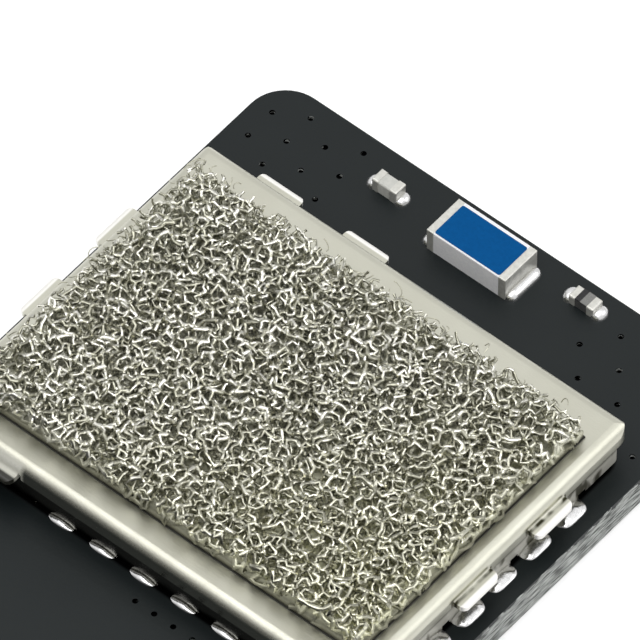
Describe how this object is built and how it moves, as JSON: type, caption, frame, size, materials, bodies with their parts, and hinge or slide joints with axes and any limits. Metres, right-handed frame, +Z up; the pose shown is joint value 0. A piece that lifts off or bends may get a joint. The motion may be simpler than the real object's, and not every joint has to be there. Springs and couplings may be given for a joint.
{
  "type": "shielded wireless circuit module",
  "caption": "Black circuit board with a chip antenna, a soldered metal shield can with outward lid tabs, and a pad of open-cell metal foam on the lid for heat and contact.",
  "frame": {"origin": "middle of the circuit board's underside", "axes": "+Z up through the board, +Y towards the antenna edge, +X along the antenna edge"},
  "size_m": [0.0188, 0.026, 0.004],
  "materials": {
    "solder_mask": "satin black solder mask on glass-fibre board",
    "gold_lands": "thin gold plating",
    "frame_sheet": "bright nickel-silver sheet",
    "lid_sheet": "satin nickel-silver sheet",
    "solder": "bright solder",
    "adhesive": "dark adhesive film",
    "foam_metal": "bright open-cell nickel foam",
    "ceramic": "white ceramic",
    "blue_print": "glossy blue print",
    "terminal_metal": "tinned silver ends",
    "capacitor_ceramic": "pale grey ceramic",
    "dark_coat": "dark glass coat",
    "chip_resin": "dark moulded resin",
    "soft_pad": "soft heat pad",
    "crystal_case": "plated metal case",
    "ferrite": "grey ferrite"
  },
  "bodies": {
    "root": {"circuit_board": "solder_mask", "underside_lands": "gold_lands", "shield_frame": "frame_sheet", "shield_lid": "lid_sheet", "shield_solder": "solder", "foam_adhesive": "adhesive", "metal_foam": "foam_metal", "antenna_body": "ceramic", "antenna_print": "blue_print", "antenna_terminals": "terminal_metal", "antenna_solder": "solder", "capacitor_body": "capacitor_ceramic", "capacitor_terminals": "terminal_metal", "capacitor_solder": "solder", "resistor_body": "ceramic", "resistor_coat": "dark_coat", "resistor_terminals": "terminal_metal", "resistor_solder": "solder", "radio_chip": "chip_resin", "gap_pad": "soft_pad", "front_end_chip": "chip_resin", "flash_chip": "chip_resin", "crystal": "crystal_case", "power_inductor": "ferrite", "inner_capacitors": "capacitor_ceramic"}
  },
  "joints": []
}
